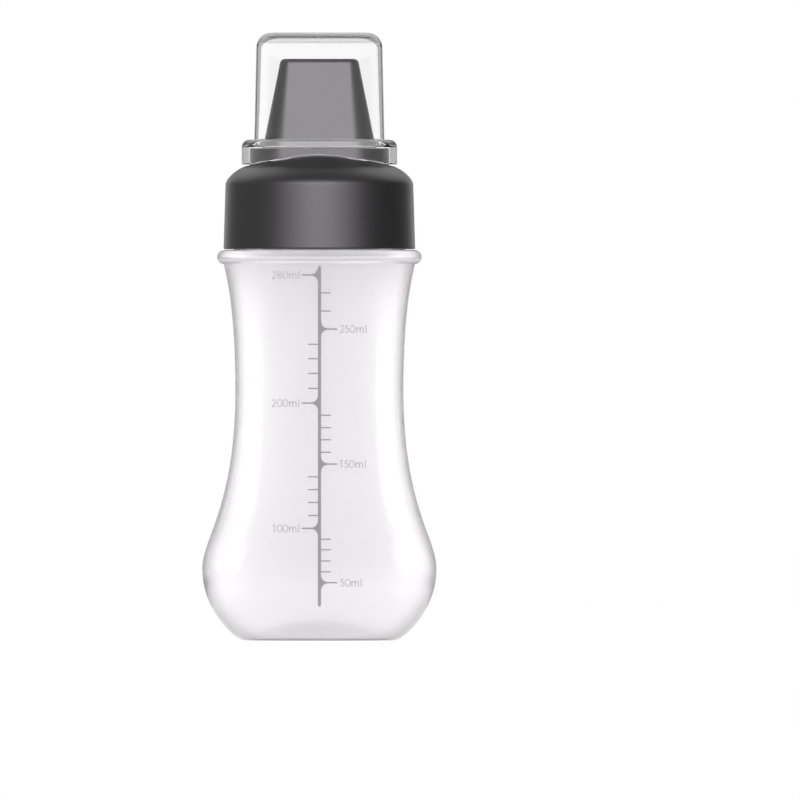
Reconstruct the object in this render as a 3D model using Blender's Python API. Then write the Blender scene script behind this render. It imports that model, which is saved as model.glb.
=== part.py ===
# Squeeze sauce bottle with a screw lid, a five-outlet nozzle and a clear dust cover.
# Metres, +Z up, standing on z = 0. The printed scale would be on the side facing -Y.
import math

import bmesh
import bpy
from mathutils import Vector
from mathutils.geometry import interpolate_bezier

# Fits
fit_gap = 0.0003          # left between pieces that touch on the real bottle
cover_grip_gap = 0.0006   # all round, between the collar and the cover's skirt
cover_crown_gap = 0.0004  # between the lid's crown and the cover's lower edge

# Bottle
bottle_wall = 0.0011
foot_radius = 0.0244      # outer edge of the ring that it stands on
foot_ring_width = 0.0032
foot_lean = math.radians(15)   # how steeply the heel leaves the foot
push_up = 0.0042          # height of the dome pressed into the base
bulge_radius = 0.0368
bulge_height = 0.0222
waist_radius = 0.0264
waist_height = 0.0785
shoulder_radius = 0.0300
shoulder_height = 0.1179
shoulder_flare = math.radians(10)
bead_section = 0.0022     # radius of the bead under the lid
bead_reach = 0.0321       # radius at its outermost point
bead_hollow_turn = math.radians(70)   # how far the hollow behind it turns, up and down
throat_setback = 0.0016   # from the bead's centre to where the throat bends up
throat_wall = 0.0008      # over the bead's hollow

# Handles of the three curves that make the bottle's outline
foot_handle = 0.0035
heel_handle = 0.0122
bulge_handle = 0.0098
lower_waist_handle = 0.0368
upper_waist_handle = 0.0260
shoulder_handle = 0.0030
throat_handle = 0.0006

# Neck and its thread
neck_bore = 0.0253        # radius
neck_wall = 0.0015
neck_length = 0.0177      # from the bead to the rim
rim_rounding = 0.0005
thread_pitch = 0.00423
thread_turns = 1.5
thread_depth = 0.0012
thread_root_width = 0.0022
thread_crest_width = 0.0009
thread_below_rim = 0.0009
thread_run_out = math.radians(40)
thread_bite = 0.0005      # how far a ridge's root reaches into its wall

# Neck seal
seal_thickness = 0.0015
seal_width = 0.0031

# Screw lid
lid_skirt_wall = 0.0018   # at the lower edge
lid_draft = 0.0006        # how much the skirt narrows on its way up
lid_edge = 0.0004
lid_crown_wall = 0.0014
lid_seat_width = 0.0041
crown_rise = 0.0050       # from the seat to where the shoulder meets the crown
crown_slope = math.radians(14.6)
lid_shoulder_drop = 0.0059
lid_shoulder_inset = 0.0063
lid_shoulder_low_handle = 0.0022
lid_shoulder_top_handle = 0.0024

# Nozzle
flange_thickness = 0.0012
collar_flat = 0.0110      # half the length of its flat front
collar_radius = 0.0109    # of its round ends, and so half its depth
collar_rise = 0.0106      # above the lid's seat
collar_edge = 0.0004
nozzle_wall = 0.0013
nozzle_rise = 0.0281      # above the collar
nozzle_foot_flat = 0.0106
nozzle_foot_radius = 0.0073
nozzle_tip_flat = 0.0092
nozzle_tip_radius = 0.0029
nozzle_tip_rounding = 0.0013
nozzle_tip_wall = 0.0015
outlet_count = 5
outlet_spacing = 0.0042
outlet_radius = 0.0009
outlet_mouth_radius = 0.0013   # at the cavity, where it narrows towards the tip

# Dust cover
cover_headroom = 0.0082   # from the nozzle's tip to the cover's top
cover_wall = 0.0014
cover_top_wall = 0.0020
cover_side_clearance = 0.0011  # between the nozzle's foot and the cover's walls
cover_corner = 0.0078     # plan radius of the box's corners
cover_draft = 0.0006
cover_top_fillet = 0.0047
cover_skirt_wall = 0.0019
cover_ledge_wall = 0.0024
cover_ledge_fillet = 0.0023

# Facets
round_steps = 48
corner_steps = 6
side_steps = 3
fillet_steps = 4
curve_steps = 7
merge_distance = 1e-6
sharp_angle = math.radians(35)

# Places that follow from the sizes above
bead_height = shoulder_height + bead_section
neck_base = bead_height + bead_section
rim_height = neck_base + neck_length
neck_radius = neck_bore + neck_wall
thread_crest = neck_radius + thread_depth
thread_top = rim_height - thread_below_rim - thread_root_width / 2
thread_start = thread_top - thread_turns * thread_pitch
seal_base = rim_height + fit_gap
flange_base = seal_base + seal_thickness + fit_gap
flange_top = flange_base + flange_thickness
lid_seat = flange_top + fit_gap
lid_base = neck_base + fit_gap
lid_bore = thread_crest + fit_gap
lid_radius = lid_bore + lid_skirt_wall
crown_edge_height = lid_seat + crown_rise
crown_edge_radius = lid_radius - lid_draft - lid_shoulder_inset
collar_top = lid_seat + collar_rise
nozzle_top = collar_top + nozzle_rise
cover_top = nozzle_top + cover_headroom
cover_rest = collar_top + fit_gap   # underside of the cover's ledge, which sits on the collar
ledge_top = cover_rest + cover_ledge_wall


def clear_scene():
    for item in list(bpy.data.objects):
        bpy.data.objects.remove(item, do_unlink=True)


def material(name, colour, roughness, alpha=1.0, transmission=0.0):
    made = bpy.data.materials.new(name)
    made.use_nodes = True
    made.diffuse_color = (*colour, alpha)
    shader = made.node_tree.nodes["Principled BSDF"]
    shader.inputs["Base Color"].default_value = (*colour, 1.0)
    shader.inputs["Roughness"].default_value = roughness
    shader.inputs["Metallic"].default_value = 0.0
    shader.inputs["Transmission Weight"].default_value = transmission
    shader.inputs["Alpha"].default_value = alpha
    return made


def curve(start, start_handle, end_handle, end, steps=curve_steps):
    """Points of one cubic curve in the (radius, height) plane, both ends included."""
    knots = [Vector((x, z, 0)) for x, z in (start, start_handle, end_handle, end)]
    return [(point.x, point.y) for point in interpolate_bezier(*knots, steps + 1)]


def arc(centre, radius, start, end, steps=fillet_steps):
    """Points of an arc in the (radius, height) plane, both ends included."""
    turns = [start + (end - start) * i / steps for i in range(steps + 1)]
    return [(centre[0] + radius * math.cos(a), centre[1] + radius * math.sin(a)) for a in turns]


def moved_inwards(outline, distance):
    """The outline shifted along its own normals, to the left of its direction."""
    shifted = []
    for i, (x, z) in enumerate(outline):
        before = Vector(outline[max(i - 1, 0)])
        after = Vector(outline[min(i + 1, len(outline) - 1)])
        here = Vector((x, z))
        along = Vector((0, 0))
        for step in (here - before, after - here):
            if step.length > 0:
                along += step.normalized()
        along.normalize()
        across = x - along.y * distance if x > merge_distance else 0
        shifted.append((across, z + along.x * distance))
    return shifted


def revolve(outline, closed=False):
    """Spins an outline of (radius, height) points round the Z axis."""
    mesh = bmesh.new()
    points = [mesh.verts.new((radius, 0, height)) for radius, height in outline]
    pairs = list(zip(points, points[1:]))
    if closed:
        pairs.append((points[-1], points[0]))
    edges = [mesh.edges.new(pair) for pair in pairs]
    bmesh.ops.spin(mesh, geom=points + edges, axis=(0, 0, 1), cent=(0, 0, 0),
                   angle=2 * math.pi, steps=round_steps, use_merge=True)
    bmesh.ops.remove_doubles(mesh, verts=mesh.verts, dist=merge_distance)
    return mesh


def skin(rings):
    """Joins level rings of equally many points, one after the other, and caps both ends."""
    mesh = bmesh.new()
    loops = [[mesh.verts.new(point) for point in ring] for ring in rings]
    for low, high in zip(loops, loops[1:]):
        for i in range(len(low)):
            j = (i + 1) % len(low)
            mesh.faces.new((low[i], low[j], high[j], high[i]))
    mesh.faces.new(loops[0])
    mesh.faces.new(loops[-1])
    return mesh


def add_object(name, mesh, surface=None, base=0.0, parent=None):
    """Makes the object with its origin on the bottle's axis, base metres up."""
    bmesh.ops.translate(mesh, verts=mesh.verts, vec=(0, 0, -base))
    bmesh.ops.recalc_face_normals(mesh, faces=mesh.faces)
    for face in mesh.faces:
        face.smooth = True
    for edge in mesh.edges:
        edge.smooth = edge.calc_face_angle(0) < sharp_angle
    data = bpy.data.meshes.new(name)
    mesh.to_mesh(data)
    mesh.free()
    made = bpy.data.objects.new(name, data)
    made.location.z = base
    bpy.context.scene.collection.objects.link(made)
    if surface:
        data.materials.append(surface)
    if parent:
        made.parent = parent
        made.location.z = base - parent.location.z
    return made


def add_axis(name, height):
    """An empty on the joint's axis, which carries the pieces that move with it."""
    axis = bpy.data.objects.new(name, None)
    axis.location.z = height
    axis.empty_display_size = 0.01
    bpy.context.scene.collection.objects.link(axis)
    return axis


def combine(target, helper, operation):
    """Joins or cuts target with helper, which stays in the scene as a hidden wire."""
    helper.hide_render = True
    helper.display_type = "WIRE"
    step = target.modifiers.new(helper.name, "BOOLEAN")
    step.operation = operation
    step.solver = "EXACT"
    step.object = helper


def racetrack(half_width, half_depth, corner, height):
    """One level ring with flat long sides, its ends rounded by the corner radius."""
    reach = half_width - corner
    drop = half_depth - corner
    quarter = [(half_width, 0.0)]
    for i in range(1, corner_steps + 1):
        turn = i * math.pi / 2 / corner_steps
        quarter.append((reach + corner * math.cos(turn), drop + corner * math.sin(turn)))
    for i in range(1, side_steps + 1):
        quarter.append((reach * (1 - i / side_steps), half_depth))
    half = quarter + [(-x, y) for x, y in quarter[-2::-1]]
    ring = half + [(x, -y) for x, y in half[-2:0:-1]]
    return [(x, y, height) for x, y in ring]


def stadium(flat, radius, height):
    """The racetrack whose ends are half circles."""
    return racetrack(flat + radius, radius, radius, height)


def circle_like(ring, radius):
    """A circle with one point on the ray through each point of the ring."""
    return [(radius * x / math.hypot(x, y), radius * y / math.hypot(x, y), z) for x, y, z in ring]


def filleted_top(half_width, half_depth, corner, fillet, top):
    """Rings that round a racetrack's upper edge, from the wall to the flat top."""
    rings = []
    for i in range(fillet_steps + 1):
        turn = i * math.pi / 2 / fillet_steps
        inset = fillet * (1 - math.cos(turn))
        height = top - fillet * (1 - math.sin(turn))
        rings.append(racetrack(half_width - inset, half_depth - inset, corner - inset, height))
    return rings


def thread_ridge(name, root, crest, start):
    """A right-hand ridge whose crest sinks into its wall at both ends."""
    deep = root + math.copysign(thread_bite, root - crest)
    buried = (root + deep) / 2
    flank = (thread_root_width - thread_crest_width) / 2 / thread_depth
    deep_half = thread_root_width / 2 + flank * thread_bite
    crest_half = thread_crest_width / 2
    whole_turn = 2 * math.pi * thread_turns
    steps = round(thread_turns * round_steps)
    rings = []
    for i in range(steps + 1):
        turn = whole_turn * i / steps
        share = min(turn / thread_run_out, (whole_turn - turn) / thread_run_out, 1)
        top = buried + (crest - buried) * share
        middle = start + thread_pitch * turn / (2 * math.pi)
        section = ((deep, -deep_half), (top, -crest_half), (top, crest_half), (deep, deep_half))
        rings.append([(r * math.cos(turn), r * math.sin(turn), middle + up) for r, up in section])
    return add_object(name, skin(rings))


def bottle_body():
    """From the shoulder down to the foot, as seen from outside."""
    shoulder = (shoulder_radius, shoulder_height)
    flare = Vector((math.sin(shoulder_flare), math.cos(shoulder_flare))) * shoulder_handle
    upper = curve(shoulder, (shoulder[0] - flare.x, shoulder[1] - flare.y),
                  (waist_radius, waist_height + upper_waist_handle), (waist_radius, waist_height))
    lower = curve((waist_radius, waist_height), (waist_radius, waist_height - lower_waist_handle),
                  (bulge_radius, bulge_height + bulge_handle), (bulge_radius, bulge_height))
    lean = Vector((math.cos(foot_lean), math.sin(foot_lean))) * foot_handle
    heel = curve((bulge_radius, bulge_height), (bulge_radius, bulge_height - heel_handle),
                 (foot_radius + lean.x, lean.y), (foot_radius, 0))
    return upper + lower[1:] + heel[1:]


def bottle_dome():
    """The push-up, from the inner edge of the foot ring to the axis."""
    edge = foot_radius - foot_ring_width
    sphere = (edge ** 2 + push_up ** 2) / (2 * push_up)
    centre = (0, push_up - sphere)
    low = math.atan2(-centre[1], edge)
    return arc(centre, sphere, low, math.pi / 2)


def add_bottle(surface):
    body = bottle_body()
    dome = bottle_dome()
    shell = body + dome
    inside = moved_inwards(shell, -bottle_wall)[::-1]
    bead_centre = (bead_reach - bead_section, bead_height)
    hollow = arc(bead_centre, bead_section - bottle_wall, -bead_hollow_turn, bead_hollow_turn)
    throat = curve((bead_centre[0] - throat_setback, neck_base - throat_wall),
                   (neck_bore + throat_handle, neck_base - throat_handle),
                   (neck_bore, neck_base), (neck_bore, neck_base + bottle_wall), 4)
    inside += [(inside[-1][0], hollow[0][1])] + hollow + throat + [(neck_bore, rim_height)]
    rim = arc((neck_radius - rim_rounding, rim_height - rim_rounding), rim_rounding, math.pi / 2, 0, 2)
    bead = arc(bead_centre, bead_section, math.pi / 2, -math.pi / 2, 6)
    outside = rim + [(neck_radius, neck_base)] + bead[:-1] + shell
    made = add_object("bottle", revolve(inside + outside), surface)
    combine(made, thread_ridge("neck_thread", neck_radius, thread_crest, thread_start), "UNION")
    return made


def add_seal(surface, parent):
    outer = lid_bore - fit_gap
    inner = outer - seal_width
    top = seal_base + seal_thickness
    section = [(inner, seal_base), (outer, seal_base), (outer, top), (inner, top)]
    return add_object("neck_seal", revolve(section, closed=True), surface, seal_base, parent)


def crown_height(radius):
    """Height of the lid's crown, a shallow cone, at a distance from the axis."""
    return crown_edge_height + (crown_edge_radius - radius) * math.tan(crown_slope)


def lid_thread_start():
    """The lid's ridge bears on the neck's ridge from below, a fit gap away."""
    overlap = (thread_depth - fit_gap) / thread_depth
    lost = (thread_root_width - thread_crest_width) / 2 * overlap
    return thread_start - (thread_root_width / 2 + thread_crest_width / 2 - lost / 2 + fit_gap)


def add_lid(surface, parent):
    top_radius = lid_radius - lid_draft
    shoulder_base = crown_edge_height - lid_shoulder_drop
    slope = Vector((math.cos(crown_slope), -math.sin(crown_slope))) * lid_shoulder_top_handle
    shoulder = curve((crown_edge_radius, crown_edge_height),
                     (crown_edge_radius + slope.x, crown_edge_height + slope.y),
                     (top_radius, shoulder_base + lid_shoulder_low_handle), (top_radius, shoulder_base))
    seat_inner = lid_bore - lid_seat_width
    under = lid_crown_wall / math.cos(crown_slope)
    outline = [(0, crown_height(0))] + shoulder + [
        (lid_radius, lid_base + lid_edge),
        (lid_radius - lid_edge, lid_base),
        (lid_bore + lid_edge, lid_base),
        (lid_bore, lid_base + lid_edge),
        (lid_bore, lid_seat),
        (seat_inner, lid_seat),
        (seat_inner, crown_height(seat_inner) - under),
        (0, crown_height(0) - under),
    ]
    made = add_object("screw_lid", revolve(outline), surface, lid_base, parent)
    combine(made, thread_ridge("lid_thread", lid_bore, neck_radius + fit_gap, lid_thread_start()), "UNION")
    hole = [stadium(collar_flat, collar_radius + fit_gap, z) for z in (lid_seat, crown_height(0) + fit_gap)]
    combine(made, add_object("collar_hole", skin(hole)), "DIFFERENCE")
    return made


def nozzle_ring(height, inset=0.0):
    """The wedge's outline at a height, or that outline drawn in all round."""
    share = (nozzle_top - height) / nozzle_rise
    flat = nozzle_tip_flat + (nozzle_foot_flat - nozzle_tip_flat) * share
    radius = nozzle_tip_radius + (nozzle_foot_radius - nozzle_tip_radius) * share
    return stadium(flat, radius - inset, height)


def add_nozzle(surface, parent):
    inner_collar = collar_radius - nozzle_wall
    flange = stadium(collar_flat, inner_collar, flange_base)
    collar = stadium(collar_flat, collar_radius, flange_top)
    rings = [
        nozzle_ring(nozzle_top - nozzle_tip_wall, nozzle_wall),
        nozzle_ring(collar_top, nozzle_wall),
        nozzle_ring(collar_top - nozzle_wall, nozzle_wall),
        stadium(collar_flat, inner_collar, collar_top - nozzle_wall),
        flange,
        circle_like(flange, lid_bore - fit_gap),
        circle_like(collar, lid_bore - fit_gap),
        collar,
        stadium(collar_flat, collar_radius, collar_top - collar_edge),
        stadium(collar_flat, collar_radius - collar_edge, collar_top),
        nozzle_ring(collar_top),
    ]
    for i in range(fillet_steps + 1):
        turn = i * math.pi / 2 / fillet_steps
        height = nozzle_top - nozzle_tip_rounding * (1 - math.sin(turn))
        rings.append(nozzle_ring(height, nozzle_tip_rounding * (1 - math.cos(turn))))
    made = add_object("nozzle", skin(rings), surface, flange_base, parent)
    combine(made, add_outlet_drills(), "DIFFERENCE")
    return made


def add_outlet_drills():
    """One cutter with a tapered drill for each outlet in the nozzle's tip."""
    drills = bmesh.new()
    length = 3 * nozzle_tip_wall
    for i in range(outlet_count):
        place = Vector(((i - (outlet_count - 1) / 2) * outlet_spacing, 0, nozzle_top - nozzle_tip_wall / 2))
        drill = bmesh.ops.create_cone(drills, cap_ends=True, segments=16, depth=length,
                                      radius1=outlet_mouth_radius, radius2=outlet_radius)
        bmesh.ops.translate(drills, verts=drill["verts"], vec=place)
    return add_object("outlet_drills", drills)


def add_cover(surface, parent):
    clear = cover_side_clearance
    half_width = nozzle_foot_flat + nozzle_foot_radius + clear
    half_depth = nozzle_foot_radius + clear
    corner = cover_corner - cover_wall
    outer_top = (half_width + cover_wall - cover_draft, half_depth + cover_wall - cover_draft)
    skirt_inner = collar_radius + cover_grip_gap
    skirt_outer = skirt_inner + cover_skirt_wall
    skirt_base = crown_height(collar_flat + skirt_inner) + cover_crown_gap
    inner_top = filleted_top(half_width - cover_draft, half_depth - cover_draft, corner,
                             cover_top_fillet - cover_wall, cover_top - cover_top_wall)
    ledge = filleted_top(collar_flat + skirt_outer, skirt_outer, skirt_outer, cover_ledge_fillet, ledge_top)
    rings = inner_top[::-1] + [
        racetrack(half_width, half_depth, corner, cover_rest),
        stadium(collar_flat, skirt_inner, cover_rest),
        stadium(collar_flat, skirt_inner, skirt_base),
        stadium(collar_flat, skirt_outer, skirt_base),
    ]
    rings += ledge
    rings.append(racetrack(half_width + cover_wall, half_depth + cover_wall, cover_corner, ledge_top))
    rings += filleted_top(*outer_top, cover_corner, cover_top_fillet, cover_top)
    made = add_object("dust_cover", skin(rings), surface, cover_rest, parent)
    combine(made, add_crown_trim(), "DIFFERENCE")
    return made


def add_crown_trim():
    """The crown's cone, raised by its gap, which gives the skirt its arched lower edge."""
    reach = 2 * lid_radius
    lift = cover_crown_gap / math.cos(crown_slope)
    low = crown_height(reach)
    return add_object("crown_trim", revolve([(0, crown_height(0) + lift), (reach, low + lift), (0, low)]))


def build():
    clear_scene()
    clear_plastic = material("clear_plastic", (0.95, 0.96, 0.97), 0.05, 0.35, 0.9)
    milky_plastic = material("milky_plastic", (0.86, 0.87, 0.88), 0.30, 0.55, 0.5)
    lid_plastic = material("lid_plastic", (0.055, 0.053, 0.056), 0.42)
    nozzle_plastic = material("nozzle_plastic", (0.075, 0.073, 0.076), 0.45)
    seal_rubber = material("seal_rubber", (0.80, 0.80, 0.78), 0.60)
    add_bottle(milky_plastic)
    lid_axis = add_axis("lid_axis", lid_base)
    add_seal(seal_rubber, lid_axis)
    add_lid(lid_plastic, lid_axis)
    add_nozzle(nozzle_plastic, lid_axis)
    cover_axis = add_axis("cover_axis", cover_rest)
    add_cover(clear_plastic, cover_axis)


build()
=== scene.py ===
import math

import bmesh
import bpy
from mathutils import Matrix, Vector
from mathutils.geometry import interpolate_bezier


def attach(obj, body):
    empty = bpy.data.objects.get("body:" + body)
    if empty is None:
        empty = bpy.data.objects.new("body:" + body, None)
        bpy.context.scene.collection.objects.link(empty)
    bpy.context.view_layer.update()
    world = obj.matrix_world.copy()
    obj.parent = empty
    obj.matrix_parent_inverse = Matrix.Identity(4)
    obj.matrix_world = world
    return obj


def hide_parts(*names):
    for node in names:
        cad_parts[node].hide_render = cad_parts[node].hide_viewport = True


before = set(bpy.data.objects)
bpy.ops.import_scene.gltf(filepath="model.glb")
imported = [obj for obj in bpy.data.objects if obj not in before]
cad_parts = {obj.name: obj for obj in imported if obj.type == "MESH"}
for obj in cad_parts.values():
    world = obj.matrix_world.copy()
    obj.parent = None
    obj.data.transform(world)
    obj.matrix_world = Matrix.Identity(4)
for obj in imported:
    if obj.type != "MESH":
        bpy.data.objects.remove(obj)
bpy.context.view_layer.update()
print("frame loaded with", ", ".join(sorted(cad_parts)))

# Metres everywhere. Heights run up from the foot, and the printed scale faces -Y.
roundSteps = 192        # points round a turned piece
cornerSteps = 20        # per rounded quarter of a racetrack ring
sideSteps = 12          # per half of a racetrack's flat side
filletSteps = 8
edgeSteps = 5           # of roundings about half a millimetre wide
lipSteps = 4            # of smaller ones
lipShare = 0.3          # where a rounding that is made of two chamfers bends
fitGap = 0.0003
axisRadius = 0.00005    # where a turned line ends at the axis
tiny = 1e-9
sharpAngle = math.radians(38)
noiseSpan = (0.3, 0.7)  # where most of a noise's values lie


def bezierLine(start, startHandle, endHandle, end, steps):  # (radius, height) points, with both ends
    knots = [Vector((x, z, 0)) for x, z in (start, startHandle, endHandle, end)]
    return [(point.x, point.y) for point in interpolate_bezier(*knots, steps + 1)]


def spread(start, end, steps):  # evenly spaced numbers, with both ends
    return [start + (end - start) * i / steps for i in range(steps + 1)]


def splitLine(start, end, steps=6):
    return list(zip(spread(start[0], end[0], steps), spread(start[1], end[1], steps)))


def ovalLine(centre, halfWidth, halfHeight, start=0, end=360, steps=28):  # angles in degrees
    turns = [math.radians(angle) for angle in spread(start, end, steps)]
    if end - start == 360:
        turns.pop()
    return [(centre[0] + halfWidth * math.cos(turn), centre[1] + halfHeight * math.sin(turn))
            for turn in turns]


def arcLine(centre, radius, start, end, steps=filletSteps):
    return ovalLine(centre, radius, radius, start, end, steps)


def quarterTurn(steps):  # along a rounding: shares in from its side and down from its top
    return [(1 - math.cos(turn), 1 - math.sin(turn)) for turn in spread(0.0, math.pi / 2, steps)]


def shiftedLine(line, distance):  # moved along its own normals, to the left of its direction
    shifted = []
    for i, (x, z) in enumerate(line):
        before, after = Vector(line[max(i - 1, 0)]), Vector(line[min(i + 1, len(line) - 1)])
        along = (after - before).normalized()
        across = x - along.y * distance if x > tiny else 0
        shifted.append((across, z + along.x * distance))
    return shifted


def wholeTurn(steps):
    return spread(0.0, 2 * math.pi, steps)[:-1]


def circleRing(radius, height, steps=roundSteps, across=0.0):
    return [(across + radius * math.cos(turn), radius * math.sin(turn), height)
            for turn in wholeTurn(steps)]


def stadiumReach(flat, radius, turn):  # from the centre to a stadium's edge, along one ray
    across, along = abs(math.cos(turn)), abs(math.sin(turn))
    if along > tiny and radius / along * across <= flat:
        return radius / along
    return flat * across + math.sqrt(max(radius ** 2 - (flat * along) ** 2, 0))


def stadiumOnRays(flat, radius, heightAt):  # has a point on each ray of circleRing
    ring = []
    for turn in wholeTurn(roundSteps):
        reach = stadiumReach(flat, radius, turn)
        ring.append((reach * math.cos(turn), reach * math.sin(turn), heightAt(reach)))
    return ring


def racetrack(halfWidth, halfDepth, corner, height):  # corner is a radius
    reach, drop = halfWidth - corner, halfDepth - corner
    quarter = []
    for gone in spread(0.0, drop + corner * math.pi / 2, cornerSteps):
        turn = max(gone - drop, 0) / corner
        quarter.append((reach + corner * math.cos(turn), min(gone, drop) + corner * math.sin(turn)))
    for i in range(1, sideSteps + 1):
        quarter.append((reach * (1 - i / sideSteps), halfDepth))
    half = quarter + [(-x, y) for x, y in quarter[-2::-1]]
    return [(x, y, height) for x, y in half + [(x, -y) for x, y in half[-2:0:-1]]]


def skinRings(rings, wrap=False):  # joins rings of equally many points; caps its ends or wraps
    mesh = bmesh.new()
    loops = [[mesh.verts.new(point) for point in ring] for ring in rings]
    pairs = list(zip(loops, loops[1:])) + ([(loops[-1], loops[0])] if wrap else [])
    for low, high in pairs:
        for i in range(len(low)):
            j = (i + 1) % len(low)
            mesh.faces.new((low[i], low[j], high[j], high[i]))
    if not wrap:
        mesh.faces.new(loops[0])
        mesh.faces.new(loops[-1])
    return mesh


def turnLine(line, wrap=False):  # a lathe: the line's ends may lie on the axis
    return skinRings([circleRing(max(radius, axisRadius), height) for radius, height in line], wrap)


def shadeMesh(data):
    mesh = bmesh.new()
    mesh.from_mesh(data)
    bmesh.ops.recalc_face_normals(mesh, faces=mesh.faces)
    for face in mesh.faces:
        face.smooth = True
    for edge in mesh.edges:
        edge.smooth = edge.calc_face_angle(0) < sharpAngle
    mesh.to_mesh(data)
    mesh.free()


def makeObject(name, mesh):
    data = bpy.data.meshes.new(name)
    mesh.to_mesh(data)
    mesh.free()
    shadeMesh(data)
    made = bpy.data.objects.new(name, data)
    bpy.context.scene.collection.objects.link(made)
    return made


def carve(piece, tool, operation):  # joins or cuts with the tool, which is then thrown away
    step = piece.modifiers.new("carve", "BOOLEAN")
    step.operation, step.solver, step.object = operation, "EXACT", tool
    bpy.context.view_layer.update()
    carved = bpy.data.meshes.new_from_object(piece.evaluated_get(bpy.context.evaluated_depsgraph_get()))
    carved.name = piece.name
    piece.modifiers.clear()
    piece.data = carved
    bpy.data.objects.remove(tool)
    shadeMesh(carved)


def fitPiece(piece, body, finish, node=None):
    piece.data.materials.clear()
    piece.data.materials.append(finish)
    even = piece.modifiers.new("evenShading", "WEIGHTED_NORMAL")
    even.keep_sharp = True
    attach(piece, body)
    if node:
        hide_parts(node)
    return piece


def lineFaces(piece, finish, heart):  # finishes the faces that look towards this height on the axis
    piece.data.materials.append(finish)
    for face in piece.data.polygons:
        level = Vector((0, 0, min(face.center.z, heart)))
        if face.normal.dot(face.center - level) < 0:
            face.material_index = 1


def threadRidge(name, root, crest, start, shape):  # right-hand, sinking into its wall at both ends
    outwards = math.copysign(1, crest - root)
    deep, buried = root - outwards * shape["bite"], root - outwards * shape["bite"] / 2
    soften = shape["softening"] * outwards
    wide, narrow = (shape["crestHalf"] * share for share in shape["crestShares"])
    whole, steps = 2 * math.pi * shape["turns"], round(shape["turns"] * shape["stepsPerTurn"])
    rings = []
    for turn in spread(0.0, whole, steps):
        share = min(turn / shape["runOut"], (whole - turn) / shape["runOut"], 1)
        share = share * share * (3 - 2 * share)
        top = buried + (crest - buried) * share
        middle = start + shape["pitch"] * turn / (2 * math.pi)
        half = [(deep, -shape["rootHalf"]), (top - soften, -wide), (top, -narrow)]
        section = half + [(radius, -up) for radius, up in half[::-1]]
        rings.append([(r * math.cos(turn), r * math.sin(turn), middle + up) for r, up in section])
    return makeObject(name, skinRings(rings))


# Helpers for node trees

def fillInputs(tree, node, inputs):  # a socket gets a number, a colour, or the output that feeds it
    for label, value in inputs.items():
        if isinstance(value, bpy.types.NodeSocket):
            tree.links.new(value, node.inputs[label])
        else:
            node.inputs[label].default_value = (*value, 1.0) if isinstance(value, tuple) else value


def addNode(tree, kind, inputs=None, operation=None):
    node = tree.nodes.new(kind)
    if operation:
        node.operation = operation
    fillInputs(tree, node, inputs or {})
    return node


def mathOf(tree, operation, *values):
    return addNode(tree, "ShaderNodeMath", dict(enumerate(values)), operation).outputs["Value"]


def mixOf(tree, low, high, share, kind="FLOAT"):
    mixed = tree.nodes.new("ShaderNodeMix")
    mixed.data_type = kind
    fillInputs(tree, mixed, {"Factor": share, "A": low, "B": high})
    return mixed.outputs["Result"]


def mixColours(tree, low, high, share):
    return mixOf(tree, low, high, share, "RGBA")


def rangeOf(tree, value, low, high, fromLow=0.0, fromHigh=1.0, kind="LINEAR"):
    made = tree.nodes.new("ShaderNodeMapRange")
    made.interpolation_type = kind
    fillInputs(tree, made, {
        "Value": value, "From Min": fromLow, "From Max": fromHigh, "To Min": low, "To Max": high,
    })
    return made.outputs["Result"]


def noiseOf(tree, place, scale, detail):  # scale in waves per metre
    return addNode(tree, "ShaderNodeTexNoise", {"Vector": place, "Scale": scale, "Detail": detail})


def bumpOf(tree, height, strength, distance):
    settings = {"Height": height, "Strength": strength, "Distance": distance}
    return addNode(tree, "ShaderNodeBump", settings).outputs["Normal"]


def placeOf(tree):
    return addNode(tree, "ShaderNodeTexCoord").outputs["Object"]


def partsOf(tree, vector):
    return addNode(tree, "ShaderNodeSeparateXYZ", {"Vector": vector}).outputs


def mirroredOf(tree):  # 1 for what gloss reflects, 0 for what is seen directly or through a clear wall
    ray = addNode(tree, "ShaderNodeLightPath").outputs
    rays = {0: ray["Is Glossy Ray"], 1: ray["Is Transmission Ray"]}
    made = addNode(tree, "ShaderNodeMath", rays, "SUBTRACT")
    made.use_clamp = True
    return ray, made.outputs["Value"]


# Node groups that several finishes share

def newGroup(name, inputs, outputs):  # every socket is a float
    group = bpy.data.node_groups.new(name, "ShaderNodeTree")
    for label, first in inputs.items():
        socket = group.interface.new_socket(label, in_out="INPUT", socket_type="NodeSocketFloat")
        socket.default_value = first
    for label in outputs:
        group.interface.new_socket(label, in_out="OUTPUT", socket_type="NodeSocketFloat")
    return group, group.nodes.new("NodeGroupInput").outputs, group.nodes.new("NodeGroupOutput")


def placeGroup(tree, group, settings):
    placed = tree.nodes.new("ShaderNodeGroup")
    placed.node_tree = group
    fillInputs(tree, placed, settings)
    return placed.outputs


def makeMouldGrain():  # the fine, even texture that a spark-eroded mould leaves on plastic
    group, given, out = newGroup(
        "mouldGrain", {"Grains per metre": 1500.0, "Patches per metre": 60.0, "Patch share": 0.35},
        ("Height", "Mask"))
    place = placeOf(group)
    grain = noiseOf(group, place, given["Grains per metre"], detail=3.0)
    fillInputs(group, grain, {"Roughness": 0.55})
    patches = noiseOf(group, place, given["Patches per metre"], detail=2.0)
    blend = mixOf(group, grain.outputs["Fac"], patches.outputs["Fac"], given["Patch share"])
    fillInputs(group, out, {"Height": grain.outputs["Fac"], "Mask": blend})
    return group


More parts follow.
